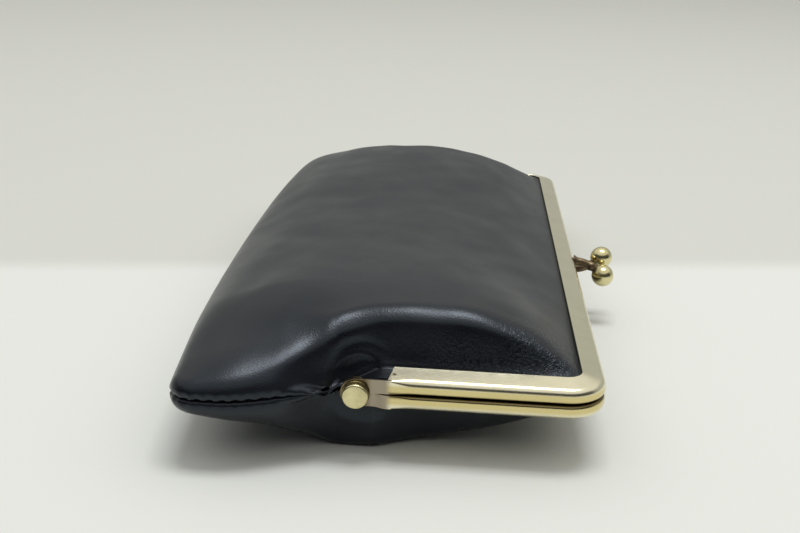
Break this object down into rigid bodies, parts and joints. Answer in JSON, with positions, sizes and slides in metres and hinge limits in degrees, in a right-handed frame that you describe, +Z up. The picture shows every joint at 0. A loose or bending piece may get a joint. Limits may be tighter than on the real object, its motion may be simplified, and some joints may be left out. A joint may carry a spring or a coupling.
{
  "type": "kiss lock frame purse",
  "caption": "Long leather purse on a hinged metal frame that opens at the mouth and shuts with two crossed balls.",
  "frame": {"origin": "centre of the box's underside, on the table", "axes": "+X along the purse, +Y to the mouth and the lock, +Z up; the parting plane of the frame halves is horizontal"},
  "size_m": [0.23, 0.121, 0.0362],
  "materials": {
    "brass": "polished antique brass with olive and grey toning",
    "old_brass": "darkened antique brass",
    "leather": "soft smooth calf leather, dark navy black, low sheen",
    "lining": "fine woven cotton, charcoal",
    "foam": "thin needled wadding",
    "paper": "twisted paper cord",
    "thread": "waxed polyester thread, black"
  },
  "bodies": {
    "lower_half": {"lower_frame": "brass", "lower_cord_top": "paper", "lower_cord_left": "paper", "lower_cord_right": "paper", "left_hinge_rivet": "brass", "right_hinge_rivet": "brass", "left_hinge_washer": "old_brass", "right_hinge_washer": "old_brass", "lower_panel": "leather", "lower_padding": "foam", "lower_lining": "lining", "upper_panel_fold": "leather", "upper_panel_base": "leather", "upper_padding_fold": "foam", "upper_padding_base": "foam", "upper_lining_fold": "lining", "upper_lining_base": "lining", "left_side_thread": "thread", "right_side_thread": "thread", "bottom_thread": "thread"},
    "upper_half": {"upper_frame": "brass", "upper_cord_top": "paper", "upper_cord_left": "paper", "upper_cord_right": "paper", "upper_panel": "leather", "upper_padding": "foam", "upper_lining": "lining"},
    "upper_lock": {"upper_lock_neck": "old_brass", "upper_lock_ball": "brass"},
    "lower_lock": {"lower_lock_neck": "old_brass", "lower_lock_ball": "brass"}
  },
  "joints": [
    {"name": "frame_hinge", "type": "hinge", "parent": "lower_half", "child": "upper_half", "pos_m": [0, -0.0125, 0.018], "axis": [1, 0, 0], "range_deg": [0, 90], "deforming": ["upper_panel_fold", "upper_padding_fold", "upper_lining_fold"]},
    {"name": "upper_lock_flex", "type": "hinge", "parent": "upper_half", "child": "upper_lock", "pos_m": [0.0027, 0.0494, 0.02015], "axis": [0, 0, -1], "range_deg": [0, 5], "stiffness_Nm_per_rad": 0.3},
    {"name": "lower_lock_flex", "type": "hinge", "parent": "lower_half", "child": "lower_lock", "pos_m": [-0.0027, 0.0494, 0.01585], "axis": [0, 0, 1], "range_deg": [0, 5], "stiffness_Nm_per_rad": 0.3}
  ]
}
